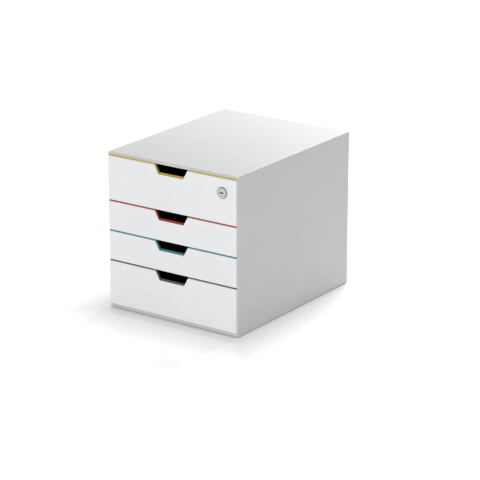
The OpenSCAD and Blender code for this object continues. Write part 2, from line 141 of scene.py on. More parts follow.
class Shader:
    """A material under construction, with its principled shader and helpers that add nodes."""

    def __init__(self, name: str) -> None:
        """Starts a material.

        Args:
            name: The material's name.
        """
        self.material = bpy.data.materials.new(name)
        self.material.use_nodes = True
        self.tree = self.material.node_tree
        self.surface = next(n for n in self.tree.nodes if n.type == "BSDF_PRINCIPLED")
        self.place = self.tree.nodes.new("ShaderNodeTexCoord").outputs["Object"]

    def link(self, source: bpy.types.NodeSocket, target: bpy.types.NodeSocket) -> None:
        """Joins two sockets."""
        self.tree.links.new(source, target)

    def noise(self, size: float, detail: float = 2.0,
              stretch: Sequence[float] = (1, 1, 1)) -> bpy.types.NodeSocket:
        """Adds noise on the piece's own coordinates.

        Args:
            size: Size of a grain, in metres.
            detail: Number of finer layers.
            stretch: How much the grain is drawn in along each axis.

        Returns:
            The noise's value.
        """
        mapping = self.tree.nodes.new("ShaderNodeMapping")
        mapping.inputs["Scale"].default_value = stretch
        self.link(self.place, mapping.inputs["Vector"])
        texture = self.tree.nodes.new("ShaderNodeTexNoise")
        texture.inputs["Scale"].default_value = 1 / size
        texture.inputs["Detail"].default_value = detail
        self.link(mapping.outputs["Vector"], texture.inputs["Vector"])
        return texture.outputs["Fac"]

    def ranged(self, value: bpy.types.NodeSocket, low: float, high: float) -> bpy.types.NodeSocket:
        """Spreads the middle of a noise over a range.

        Args:
            value: The noise.
            low: The result where the noise is low.
            high: The result where it is high.

        Returns:
            The spread value.
        """
        node = self.tree.nodes.new("ShaderNodeMapRange")
        node.inputs["From Min"].default_value, node.inputs["From Max"].default_value = NOISE_MIDDLE
        node.inputs["To Min"].default_value = low
        node.inputs["To Max"].default_value = high
        self.link(value, node.inputs["Value"])
        return node.outputs["Result"]

    def maths(self, operation: str, first: bpy.types.NodeSocket,
              second: bpy.types.NodeSocket) -> bpy.types.NodeSocket:
        """Adds a node that reckons with two values.

        Args:
            operation: Blender's name for what it does.
            first: The first value.
            second: The second value.

        Returns:
            The result.
        """
        node = self.tree.nodes.new("ShaderNodeMath")
        node.operation = operation
        self.link(first, node.inputs[0])
        self.link(second, node.inputs[1])
        return node.outputs[0]

    def distance(self, corner: Sequence[float]) -> bpy.types.NodeSocket:
        """Measures how far outside a level rectangle round the origin a point lies.

        Args:
            corner: The rectangle's highest corner.

        Returns:
            The distance along x or y, whichever is more.
        """
        spread = self.tree.nodes.new("ShaderNodeVectorMath")
        spread.operation = "ABSOLUTE"
        self.link(self.place, spread.inputs[0])
        less = self.tree.nodes.new("ShaderNodeVectorMath")
        less.operation = "SUBTRACT"
        less.inputs[1].default_value = corner
        self.link(spread.outputs["Vector"], less.inputs[0])
        parts = self.tree.nodes.new("ShaderNodeSeparateXYZ")
        self.link(less.outputs["Vector"], parts.inputs["Vector"])
        return self.maths("MAXIMUM", parts.outputs["X"], parts.outputs["Y"])

    def paint(self, colour: Sequence[float], depth: float, patch: float) -> None:
        """Gives the surface a colour that varies faintly from patch to patch.

        Args:
            colour: The linear colour.
            depth: Share by which the colour varies.
            patch: Size of a patch, in metres.
        """
        mix = self.tree.nodes.new("ShaderNodeMix")
        mix.data_type = "RGBA"
        low, high, result = mix.inputs[6], mix.inputs[7], mix.outputs[2]  # the node's colour sockets
        low.default_value = [c * (1 - depth) for c in colour[:3]] + [1]
        high.default_value = [min(1.0, c * (1 + depth)) for c in colour[:3]] + [1]
        self.link(self.ranged(self.noise(patch, detail=3), 0, 1), mix.inputs[0])
        self.link(result, self.surface.inputs["Base Color"])

    def bump(self, height: bpy.types.NodeSocket, depth: float,
             after: bpy.types.Node | None = None) -> bpy.types.Node:
        """Raises the surface by a height, on top of an earlier bump.

        Args:
            height: The height, from 0 to 1.
            depth: What a height of 1 stands for, in metres.
            after: The earlier bump.

        Returns:
            The bump node, which drives the surface's normal.
        """
        node = self.tree.nodes.new("ShaderNodeBump")
        node.inputs["Distance"].default_value = depth
        self.link(height, node.inputs["Height"])
        if after is not None:
            self.link(after.outputs["Normal"], node.inputs["Normal"])
        self.link(node.outputs["Normal"], self.surface.inputs["Normal"])
        return node


@dataclass(frozen=True)
class MouldedPlastic:
    """Injection-moulded plastic: spark-eroded grain over a faint waviness of the skin."""

    name: str
    tint: Tint
    roughness: float = 0.42
    rough_spread: float = 0.03
    rough_patch: float = 6 * MM
    ior: float = 1.5
    grain: float = 0.35 * MM
    grain_depth: float = 0.012 * MM
    wave: float = 14 * MM
    wave_depth: float = 0.02 * MM
    shade: float = 0.012
    patch: float = 90 * MM

    def material(self) -> bpy.types.Material:
        """Builds the finish.

        Returns:
            The material.
        """
        shader = Shader(self.name)
        shader.paint(self.tint.rgba, self.shade, self.patch)
        rough = shader.ranged(shader.noise(self.rough_patch, detail=4),
                              self.roughness - self.rough_spread, self.roughness + self.rough_spread)
        shader.link(rough, shader.surface.inputs["Roughness"])
        shader.surface.inputs["IOR"].default_value = self.ior
        waves = shader.bump(shader.noise(self.wave, detail=1), self.wave_depth)
        shader.bump(shader.noise(self.grain, detail=2), self.grain_depth, waves)
        return shader.material


@dataclass(frozen=True)
class Plated:
    """Plated metal: bright, with fine turning or brushing marks and small dull patches."""

    name: str
    tint: Tint
    roughness: float = 0.24
    brighter: float = 0.06
    duller: float = 0.08
    dull_patch: float = 1.5 * MM
    shade: float = 0.04
    patch: float = 3 * MM
    mark: float = 0.25 * MM
    mark_depth: float = 0.004 * MM
    stretch: tuple[float, float, float] = (1, 0.2, 1)

    def material(self) -> bpy.types.Material:
        """Builds the finish.

        Returns:
            The material.
        """
        shader = Shader(self.name)
        shader.surface.inputs["Metallic"].default_value = 1.0
        shader.paint(self.tint.rgba, self.shade, self.patch)
        rough = shader.ranged(shader.noise(self.dull_patch, detail=4),
                              self.roughness - self.brighter, self.roughness + self.duller)
        shader.link(rough, shader.surface.inputs["Roughness"])
        shader.bump(shader.noise(self.mark, 3, self.stretch), self.mark_depth)
        return shader.material


@dataclass(frozen=True)
class Rubber:
    """Dull moulded rubber with a coarse grain."""

    name: str
    tint: Tint
    roughness: float = 0.85
    shade: float = 0.08
    patch: float = 4 * MM
    grain: float = 0.5 * MM
    grain_depth: float = 0.03 * MM

    def material(self) -> bpy.types.Material:
        """Builds the finish.

        Returns:
            The material.
        """
        shader = Shader(self.name)
        shader.paint(self.tint.rgba, self.shade, self.patch)
        shader.surface.inputs["Roughness"].default_value = self.roughness
        shader.bump(shader.noise(self.grain, detail=3), self.grain_depth)
        return shader.material


class Finish(Enum):
    """The finishes of the box, each with the record's slot that it stands for."""

    CASING = ("casing_grey", MouldedPlastic("casing_plastic", Tint.CASING, roughness=0.45,
                                            grain_depth=0.016 * MM))
    RUNNER = ("runner_grey", MouldedPlastic("runner_plastic", Tint.RUNNER, roughness=0.38))
    FRONT = ("front_white", MouldedPlastic("front_plastic", Tint.FRONT, roughness=0.34,
                                           grain_depth=0.006 * MM))
    YELLOW = ("liner_yellow", MouldedPlastic("yellow_plastic", Tint.YELLOW, roughness=0.36, shade=0.02))
    RED = ("liner_red", MouldedPlastic("red_plastic", Tint.RED, roughness=0.36, shade=0.02))
    TEAL = ("liner_teal", MouldedPlastic("teal_plastic", Tint.TEAL, roughness=0.36, shade=0.02))
    SLATE = ("liner_grey", MouldedPlastic("slate_plastic", Tint.SLATE, roughness=0.36, shade=0.02))
    TRAY = ("tray_charcoal", MouldedPlastic("tray_plastic", Tint.CHARCOAL, roughness=0.55,
                                            grain=0.6 * MM, grain_depth=0.05 * MM, shade=0.05))
    NICKEL = ("lock_chrome", Plated("nickel_plating", Tint.NICKEL))
    # darker nickel: painted dark reflection on the ring's bevel, painted shade in the gap round the plug
    NICKEL_EDGE = ("lock_chrome", Plated("nickel_painted_shade_edge", Tint.NICKEL_EDGE, roughness=0.3))
    # charcoal in the keyway: painted shade in the slot
    KEYWAY = ("lock_chrome", Plated("keyway_painted_shade", Tint.CHARCOAL, roughness=0.5))
    ZINC = ("screw_steel", Plated("zinc_plating", Tint.ZINC, roughness=0.34, stretch=(1, 1, 1)))
    BRASS = ("wafer_brass", Plated("plain_brass", Tint.BRASS, roughness=0.3))
    RUBBER = ("foot_rubber", Rubber("foot_rubber", Tint.RUBBER))

    def material(self) -> bpy.types.Material:
        """The finish's material, built when it is first asked for."""
        maker = self.value[1]
        return bpy.data.materials.get(maker.name) or maker.material()

    def dress(self, *pieces: bpy.types.Object) -> None:
        """Gives pieces this finish alone.

        Args:
            pieces: The pieces.
        """
        for piece in pieces:
            piece.data.materials.clear()
            piece.data.materials.append(self.material())

    def dress_faces(self, piece: bpy.types.Object, chosen: Callable[[Vector, Vector], bool]) -> None:
        """Gives this finish to some of a piece's faces, beside the finish that the piece has.

        Args:
            piece: The piece.
            chosen: Says from a face's middle and normal whether it is one of them.
        """
        piece.data.materials.append(self.material())
        for face in piece.data.polygons:
            if chosen(face.center, face.normal):
                face.material_index = len(piece.data.materials) - 1


# ---------------------------------------------------------------------------------------------
# The bench: primitives, edit-mode operators and applied modifiers
# ---------------------------------------------------------------------------------------------


def take(piece: bpy.types.Object) -> None:
    """Makes a piece the only one selected, and the active one.

    Args:
        piece: The piece.
    """
    bpy.ops.object.select_all(action="DESELECT")
    piece.select_set(True)
    bpy.context.view_layer.objects.active = piece


def settle(name: str) -> bpy.types.Object:
    """Names the piece just added and moves its place into its mesh.

    Args:
        name: The name.

    Returns:
        The piece.
    """
    piece = bpy.context.active_object
    piece.name = name
    bpy.ops.object.transform_apply(location=True, rotation=True, scale=True)
    return piece


def block(name: str, low: Sequence[float], high: Sequence[float]) -> bpy.types.Object:
    """Adds a box between two opposite corners.

    Args:
        name: The piece's name.
        low: Its lowest corner.
        high: Its highest corner.

    Returns:
        The box.
    """
    bpy.ops.object.select_all(action="DESELECT")
    bpy.ops.mesh.primitive_cube_add(size=1, location=[(a + b) / 2 for a, b in zip(low, high)])
    bpy.context.active_object.scale = [b - a for a, b in zip(low, high)]
    return settle(name)


def rod(name: str, start: Sequence[float], radius: float, length: float, axis: str = "Y",
        end_radius: float | None = None, sides: int = 96) -> bpy.types.Object:
    """Adds a cylinder or a cone that runs from a point along an axis.

    Args:
        name: The piece's name.
        start: Middle of its first end.
        radius: Radius at the first end.
        length: Length towards the axis's positive end.
        axis: "X", "Y" or "Z".
        end_radius: Radius at the other end, where it differs.
        sides: Number of sides.

    Returns:
        The rod.
    """
    way = {"X": Vector((1, 0, 0)), "Y": Vector((0, 1, 0)), "Z": Vector((0, 0, 1))}[axis]
    turn = {"X": (0, math.pi / 2, 0), "Y": (-math.pi / 2, 0, 0), "Z": (0, 0, 0)}[axis]
    bpy.ops.object.select_all(action="DESELECT")
    bpy.ops.mesh.primitive_cone_add(
        vertices=sides, radius1=radius, radius2=radius if end_radius is None else end_radius,
        depth=length, location=Vector(start) + way * length / 2, rotation=turn)
    return settle(name)


def apply(piece: bpy.types.Object, kind: str, **settings: object) -> None:
    """Adds a modifier to a piece and applies it.

    Args:
        piece: The piece.
        kind: Blender's name for the modifier.
        settings: The modifier's settings.
    """
    take(piece)
    modifier = piece.modifiers.new(kind.lower(), kind)
    for key, value in settings.items():
        setattr(modifier, key, value)
    bpy.ops.object.modifier_apply(modifier=modifier.name)


def combine(piece: bpy.types.Object, how: str, others: Sequence[bpy.types.Object]) -> None:
    """Cuts other solids out of a piece, joins them to it or keeps what is in both, and uses them up.

    Args:
        piece: The piece that stays.
        how: "DIFFERENCE", "UNION" or "INTERSECT".
        others: The solids.
    """
    for other in others:
        apply(piece, "BOOLEAN", operation=how, object=other, solver="EXACT")
        bpy.data.objects.remove(other)


def carve(piece: bpy.types.Object, *cutters: bpy.types.Object) -> None:
    """Cuts solids out of a piece and uses them up."""
    combine(piece, "DIFFERENCE", cutters)


def weld(piece: bpy.types.Object, *parts: bpy.types.Object) -> None:
    """Joins solids to a piece and uses them up."""
    combine(piece, "UNION", parts)


def round_edges(piece: bpy.types.Object, radius_at: Callable[[Vector, Vector], float],
                segments: int = 5) -> None:
    """Rounds a piece's edges, each to its own radius, with the corners between them blended.

    Args:
        piece: The piece.
        radius_at: Gives the radius for an edge's middle and direction, or 0 to leave it.
        segments: Number of faces across each rounding.
    """
    take(piece)
    bpy.ops.object.mode_set(mode="EDIT")
    mesh = bmesh.from_edit_mesh(piece.data)
    layers = mesh.edges.layers.float
    weight = layers.get("bevel_weight_edge") or layers.new("bevel_weight_edge")
    radii = {}
    for edge in mesh.edges:
        a, b = (vertex.co for vertex in edge.verts)
        radii[edge] = radius_at((a + b) / 2, (b - a).normalized())
    largest = max(radii.values())
    for edge, radius in radii.items():
        edge[weight] = radius / largest
    bmesh.update_edit_mesh(piece.data)
    bpy.ops.object.mode_set(mode="OBJECT")
    apply(piece, "BEVEL", width=largest, segments=segments, limit_method="WEIGHT", use_clamp_overlap=False)
    take(piece)
    leftover = piece.data.attributes.get("bevel_weight_edge")
    if leftover is not None:
        piece.data.attributes.remove(leftover)


def soften(piece: bpy.types.Object, width: float, segments: int = 2) -> None:
    """Breaks every sharp edge of a piece by a small rounding."""
    apply(piece, "BEVEL", width=width, segments=segments, limit_method="ANGLE", angle_limit=SHARP)


def smooth(piece: bpy.types.Object) -> bpy.types.Object:
    """Cleans a finished piece and shades its roundings smooth and its flats flat.

    Args:
        piece: The piece.

    Returns:
        The same piece.
    """
    take(piece)
    bpy.ops.object.mode_set(mode="EDIT")
    bpy.ops.mesh.select_all(action="SELECT")
    bpy.ops.mesh.remove_doubles(threshold=MERGE)
    bpy.ops.mesh.normals_make_consistent(inside=False)
    bpy.ops.object.mode_set(mode="OBJECT")
    bpy.ops.object.shade_smooth_by_angle(angle=CREASE)
    apply(piece, "WEIGHTED_NORMAL", keep_sharp=True)
    return piece


def along(direction: Vector, axis: int) -> bool:
    """Whether a direction runs along an axis, given as 0, 1 or 2."""
    return abs(direction[axis]) > STRAIGHT


# ---------------------------------------------------------------------------------------------
# The finger grip's outline
# ---------------------------------------------------------------------------------------------


@dataclass(frozen=True)
class Grip:
    """The trapezoid finger grip in a plate's top edge."""

    width: float = 71 * MM
    floor: float = 53.5 * MM
    height: float = 16 * MM
    radius: float = 2 * MM
    collar: float = 1.5 * MM
    lip_height: float = 2 * MM
    lip: float = 1.2 * MM

    def prism(self, name: str, plate_top: float, near: float, far: float,
              grow: float = 0.0, top: float = 0.0) -> bpy.types.Object:
        """Makes the grip's outline as a solid.

        Args:
            name: The solid's name.
            plate_top: Height of the plate's top edge.
            near: Where it starts, along y.
            far: Where it ends.
            grow: How far the outline is moved outwards.
            top: Height of its top over the plate's top edge.

        Returns:
            The solid, with its two lower edges rounded.
        """
        lean = math.atan((self.width - self.floor) / 2 / self.height)
        low = -self.height - grow
        half = self.floor / 2 + grow * (1 / math.cos(lean) - math.tan(lean))
        solid = block(name, (-half, near, plate_top + low), (half, far, plate_top + top))
        bpy.ops.object.mode_set(mode="EDIT")
        bpy.ops.mesh.select_mode(type="VERT")
        bpy.ops.mesh.select_all(action="DESELECT")
        mesh = bmesh.from_edit_mesh(solid.data)
        for vertex in mesh.verts:
            vertex.select_set(vertex.co.z > plate_top + top - EVEN)
        bmesh.update_edit_mesh(solid.data)
        wider = 1 + (top - low) * math.tan(lean) / half
        bpy.ops.transform.resize(value=(wider, 1, 1), center_override=(0, (near + far) / 2, plate_top + top))
        bpy.ops.object.mode_set(mode="OBJECT")
        reach = (self.radius + grow) / math.tan(math.pi / 4 + lean / 2)
        floor = plate_top + low + EVEN
        round_edges(solid, lambda middle, way: reach if along(way, 1) and middle.z < floor else 0, segments=8)
        return solid


# ---------------------------------------------------------------------------------------------
# The casing and what stays with it
# ---------------------------------------------------------------------------------------------


@dataclass
class Casing:
    """The seamless wrap with its rim, rail, rear flange, screw holes and foot pockets."""

    wall: float = 3 * MM
    rim_depth: float = 5 * MM
    rim_drop: float = 2.5 * MM
    rail_rise: float = 3.5 * MM
    flange: float = 14 * MM
    top_edge: float = 2 * MM
    low_edge: float = 1 * MM
    front_edge: float = 0.7 * MM
    back_edge: float = 1 * MM
    broken_edge: float = 0.35 * MM
    reach: float = 5 * MM
    screw_radii: tuple[float, float] = (1.35 * MM, 2.65 * MM)
    screw_head: float = 1.45 * MM
    foot_gap: float = 0.2 * MM
    pad_edge: float = 2 * MM
    low: Vector = field(init=False)
    high: Vector = field(init=False)

    def __post_init__(self) -> None:
        """Takes the outer corners from the frame."""
        self.low, self.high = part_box("casing")

    def long_radius(self, middle: Vector, way: Vector) -> float:
        """Gives the rounding of the four long edges.

        Args:
            middle: An edge's middle.
            way: Its direction.

        Returns:
            The radius, or 0 for another edge.
        """
        if not along(way, 1):
            return 0
        return self.top_edge if middle.z > (self.low.z + self.high.z) / 2 else self.low_edge

    def end_radius(self, middle: Vector, way: Vector) -> float:
        """Gives the rounding of the outline at the front and at the back.

        Args:
            middle: An edge's middle.
            way: Its direction.

        Returns:
            The radius, or 0 for a long edge.
        """
        if along(way, 1):
            return 0
        if abs(middle.y - self.low.y) < EVEN:
            return self.front_edge
        return self.back_edge if abs(middle.y - self.high.y) < EVEN else 0

    def walls(self) -> bpy.types.Object:
        """Models the wrap without its small holes.

        Returns:
            The wrap.
        """
        low, high, wall, reach = self.low, self.high, self.wall, self.reach
        rail, rim = low.z + wall + self.rail_rise, high.z - wall - self.rim_drop
        wrap = block("casing_wrap", low, high)
        round_edges(wrap, self.long_radius, segments=8)
        round_edges(wrap, self.end_radius, segments=3)
        inner = high.x - wall
        flange = inner - self.flange
        carve(
            wrap,
            block("room", (-inner, low.y + self.rim_depth, low.z + wall),
                  (inner, high.y - wall, high.z - wall)),
            block("mouth", (-inner, low.y - reach, rail), (inner, low.y + self.rim_depth + reach, rim)),
            block("back", (-flange, high.y - wall - reach, low.z + wall + self.flange),
                  (flange, high.y + reach, high.z - wall - self.flange)),
        )
        soften(wrap, self.broken_edge)
        return wrap

    def screw_holes(self) -> list[bpy.types.Object]:
        """Makes the countersunk holes round the back opening.

        Returns:
            The holes, as solids to cut away.
        """
        side = self.high.x - self.wall - self.flange / 2
        bottom = self.low.z + self.wall + self.flange / 2
        top = self.high.z - self.wall - self.flange / 2
        shank, head = self.screw_radii
        holes = []
        for x in (-side, side):
            for z in (bottom, (bottom + top) / 2, top):
                holes.append(rod("shank", (x, self.high.y - self.wall - MM, z), shank, self.wall, sides=32))
                holes.append(rod("head", (x, self.high.y - self.screw_head, z), shank, self.screw_head,
                                 end_radius=head, sides=32))
        return holes

    def foot_pockets(self) -> list[bpy.types.Object]:
        """Makes the pockets that hold the feet.

        Returns:
            The pockets, as solids to cut away.
        """
        pockets = []
        for name in Feet.nodes:
            low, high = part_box(name)
            middle = (low + high) / 2
            radius = (high.x - low.x) / 2 + self.foot_gap
            pockets.append(rod("pocket", (middle.x, middle.y, low.z), radius, high.z - low.z, "Z"))
        return pockets

    def keeper_pad(self) -> bpy.types.Object:
        """Makes the pad under the ceiling that the lock's keeper is screwed to.

        Returns:
            The pad.
        """
        low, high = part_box("lock_keeper")
        edge = self.pad_edge
        return block("pad", (low.x - edge, self.low.y + self.rim_depth - MM, high.z),
                     (high.x + edge, high.y + edge, self.high.z - self.wall + MM))

    def build(self) -> None:
        """Models the wrap and dresses all that stays with it."""
        wrap = self.walls()
        weld(wrap, self.keeper_pad())
        carve(wrap, *self.screw_holes(), *self.foot_pockets())
        smooth(wrap)
        Finish.CASING.dress(wrap)
        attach(wrap, "housing")
        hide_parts("casing")
        log.info("casing: %d faces", len(wrap.data.polygons))


@dataclass
class Fittings:
    """The pieces inside and behind the casing that keep the shape the frame gives them."""

    nodes: dict[str, bpy.types.Object]

    def build(self) -> None:
        """Dresses the panels, the screws, the keeper and the lock's inner pieces."""
        finishes = {
            Finish.CASING: ["rear_panel"],
            Finish.RUNNER: ["left_runner_panel", "right_runner_panel"],
            Finish.ZINC: ["lock_keeper", "keeper_screws", "rear_screws", "left_runner_screws",
                          "right_runner_screws", "lock_washer", "lock_nut", "lock_cam", "lock_cam_screw"]
            + [f"drawer_{number}_screws" for number in Drawer.numbers],
            Finish.BRASS: ["lock_wafers"],
        }
        for finish, names in finishes.items():
            finish.dress(*[self.nodes[name] for name in names])
            log.info("%s: %s", finish.name.lower(), ", ".join(names))


@dataclass
class Feet:
    """The four rubber feet, each with a rounded rim and a hollow underside."""

    nodes: ClassVar[tuple[str, ...]] = ("foot_front_left", "foot_front_right",
                                        "foot_rear_left", "foot_rear_right")
    rim: float = 0.6 * MM
    hollow: float = 0.5 * MM
    hollow_share: float = 0.6

    def build(self) -> None:
        """Models the feet."""
        for name in self.nodes:
            low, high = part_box(name)
            middle, radius = (low + high) / 2, (high.x - low.x) / 2
            foot = rod(f"{name}_pad", (middle.x, middle.y, low.z), radius, high.z - low.z, "Z")
            round_edges(foot, lambda at, way, under=low.z: self.rim if abs(at.z - under) < EVEN else 0,
                        segments=3)
            carve(foot, rod("hollow", (middle.x, middle.y, low.z - MM), radius * self.hollow_share,
                            MM + self.hollow, "Z"))
            smooth(foot)
            Finish.RUBBER.dress(foot)
            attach(foot, "housing")
            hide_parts(name)
            log.info("%s: %d faces", name, len(foot.data.polygons))


# ---------------------------------------------------------------------------------------------
# The drawers
# ---------------------------------------------------------------------------------------------


@dataclass
class Drawer:
    """One drawer: white front plate, coloured liner and dark tray."""

    numbers: ClassVar[tuple[int, ...]] = (1, 2, 3, 4)
    number: int
    liner_finish: Finish
    grip: Grip = field(default_factory=Grip)
    plate: float = 1.2 * MM
    plate_depth: float = 3.2 * MM
    upright_edge: float = 0.8 * MM
    plate_edge: float = 0.35 * MM
    inner_edge: float = 0.15 * MM
    liner_edge: float = 0.2 * MM
    collar_rise: float = 1 * MM
    fit: float = 0.2 * MM
    tray_wall: float = 2 * MM
    tray_front: float = 2.5 * MM
    tray_floor: float = 2 * MM
    tray_rear_corner: float = 6 * MM
    tray_front_corner: float = 1 * MM
    tray_fillet: float = 2.5 * MM
    tray_foot: float = 0.8 * MM
    tray_edge: float = 0.4 * MM
    lug_drop: float = 2.5 * MM
    lug_length: float = 10 * MM
    lug_width: float = 8 * MM
    boss: float = 4 * MM
    boss_depth: float = 4.7 * MM
    boss_gap: float = 0.05 * MM
    screw: float = 1.6 * MM
    screw_x: tuple[float, float] = (62 * MM, 110 * MM)
    screw_edge: float = 12 * MM
    lock_hole: float = 8.05 * MM
    reach: float = 5 * MM

    def __post_init__(self) -> None:
        """Takes the drawer's corners from the frame."""
        self.front_low, self.front_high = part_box(f"drawer_{self.number}_front")
        self.liner_low, self.liner_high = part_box(f"drawer_{self.number}_liner")
        self.tray_low, self.tray_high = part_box(f"drawer_{self.number}_tray")

    def screw_places(self) -> list[tuple[float, float]]:
        """The x and z of the four screws that hold the front."""
        upper, lower = self.front_high.z - self.screw_edge, self.front_low.z + self.screw_edge
        return [(side * x, z) for x, z in zip(self.screw_x, (upper, lower)) for side in (-1, 1)]

    def holes(self, radius: float, near: float, far: float) -> list[bpy.types.Object]:
        """Rods at the four screws, as solids.

        Args:
            radius: Their radius.
            near: Where they start, along y.
            far: Where they end.

        Returns:
            The rods.
        """
        return [rod("screw_place", (x, near, z), radius, far - near, sides=32)
                for x, z in self.screw_places()]

    def lock_holes(self) -> list[bpy.types.Object]:
        """Makes the hole for the lock's body on the drawer that has a lock.

        Returns:
            The hole as a solid, or nothing on another drawer.
        """
        if self.number != 1:
            return []
        low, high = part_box("lock_barrel")
        middle = (low + high) / 2
        start = (middle.x, self.front_low.y - self.reach, middle.z)
        return [rod("lock_place", start, self.lock_hole, 4 * self.reach)]

    def front(self) -> bpy.types.Object:
        """Models the front plate: a shallow pan with the grip cut out of its top edge.

        Returns:
            The plate.
        """
        low = self.front_low
        high = Vector((self.front_high.x, low.y + self.plate_depth, self.front_high.z))
        reach = self.reach

        def radius(middle: Vector, way: Vector) -> float:
            """Gives the rounding of the plate's outer edges.

            Args:
                middle: An edge's middle.
                way: Its direction.

            Returns:
                The radius, or 0 for an edge behind the face.
            """
            if abs(middle.y - low.y) > EVEN:
                return 0
            return self.upright_edge if along(way, 2) else self.plate_edge

        plate = block(f"drawer_{self.number}_front_plate", low, high)
        round_edges(plate, radius, segments=4)
        carve(
            plate,
            block("pan", (low.x + self.plate, low.y + self.plate, low.z + self.plate),
                  (high.x - self.plate, high.y + reach, high.z + reach)),
            self.grip.prism("grip", high.z, low.y - reach, high.y + reach, top=reach),
        )
        soften(plate, self.inner_edge)
        weld(plate, *self.holes(self.boss, low.y + self.plate / 2, low.y + self.boss_depth))
        carve(plate, *self.lock_holes())
        return smooth(plate)

    def liner(self) -> bpy.types.Object:
        """Models the liner: panel, strip over the plate, collar round the grip and its lip.

        Returns:
            The liner.
        """
        low, high, top = self.liner_low, self.liner_high, self.front_high.z
        side, rear = self.front_high.x - self.plate - self.fit, self.tray_low.y
        grip, reach = self.grip, self.reach
        liner = block(f"drawer_{self.number}_grip_liner", (-side, low.y, low.z), (side, rear, high.z))
        weld(
            liner,
            block("strip", (low.x, low.y, top + self.fit), (high.x, rear, high.z)),
            grip.prism("collar", top, low.y + self.liner_edge, high.y, grip.collar, self.collar_rise),
        )
        carve(liner, grip.prism("opening", top, low.y - reach, high.y + reach, 0, reach))
        weld(liner, grip.prism("lip", top, high.y - grip.lip, high.y, grip.collar / 2,
                               grip.lip_height - grip.height))
        soften(liner, self.liner_edge)
        carve(liner, *self.holes(self.boss + self.fit, low.y - reach, rear + MM), *self.lock_holes())
        return smooth(liner)

    def tray(self) -> bpy.types.Object:
        """Models the tray: rounded box with filleted inside, lugs below and a notch for the grip.

        Returns:
            The tray.
        """
        low, high, wall, reach = self.tray_low, self.tray_high, self.tray_wall, self.reach
        floor = low.z + self.lug_drop

        def outer(middle: Vector, way: Vector) -> float:
            """Gives the rounding of the tray's outer edges.

            Args:
                middle: An edge's middle.
                way: Its direction.

            Returns:
                The radius, or 0 for the rim.
            """
            if along(way, 2):
                return self.tray_front_corner if middle.y < 0 else self.tray_rear_corner
            return self.tray_foot if middle.z < floor + EVEN else 0.0

        def inner(middle: Vector, way: Vector) -> float:
            """Gives the rounding of the inside's edges.

            Args:
                middle: An edge's middle.
                way: Its direction.

            Returns:
                The radius, or 0 for the rim.
            """
            if along(way, 2):
                return self.tray_front_corner if middle.y < 0 else self.tray_rear_corner - wall
            return self.tray_fillet if middle.z < floor + 2 * self.tray_floor else 0.0

        tray = block(f"drawer_{self.number}_tray_shell", (low.x, low.y, floor), high)
        round_edges(tray, outer)
        inside = block("inside", (low.x + wall, low.y + self.tray_front, floor + self.tray_floor),
                       (high.x - wall, high.y - wall, high.z + reach))
        round_edges(inside, inner)
        carve(tray, inside, self.grip.prism("notch", self.front_high.z, low.y - reach, low.y + 2 * reach,
                                            self.grip.collar + self.fit, reach))
        soften(tray, self.tray_edge)
        weld(tray, *self.lugs(floor + self.tray_floor / 2))
        carve(
            tray,
            *self.holes(self.boss + self.fit, low.y - MM, self.front_low.y + self.boss_depth + self.boss_gap),
            *self.holes(self.screw, low.y, low.y + 2 * self.tray_front),
            *self.lock_holes(),
        )
        return smooth(tray)

    def lugs(self, top: float) -> list[bpy.types.Object]:
        """The two lugs under the tray's rear end that meet the runner panels' stops.

        Args:
            top: Their upper face, inside the tray's floor.

        Returns:
            The lugs.
        """
        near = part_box("right_runner_panel")[0].x
        end = self.tray_high.y - self.tray_rear_corner
        made = []
        for side in (-1, 1):
            left, right = sorted((side * near, side * (near + self.lug_width)))
            made.append(block("lug", (left, end - self.lug_length, self.tray_low.z), (right, end, top)))
        return made

    def build(self) -> None:
        """Models and dresses the drawer's pieces and puts them on its body."""
        made = {
            "front": (self.front(), Finish.FRONT),
            "liner": (self.liner(), self.liner_finish),
            "tray": (self.tray(), Finish.TRAY),
        }
        for part, (piece, finish) in made.items():
            finish.dress(piece)
            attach(piece, f"drawer_{self.number}")
            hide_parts(f"drawer_{self.number}_{part}")
            log.info("%s: %d faces", piece.name, len(piece.data.polygons))


# ---------------------------------------------------------------------------------------------
# The lock
# ---------------------------------------------------------------------------------------------


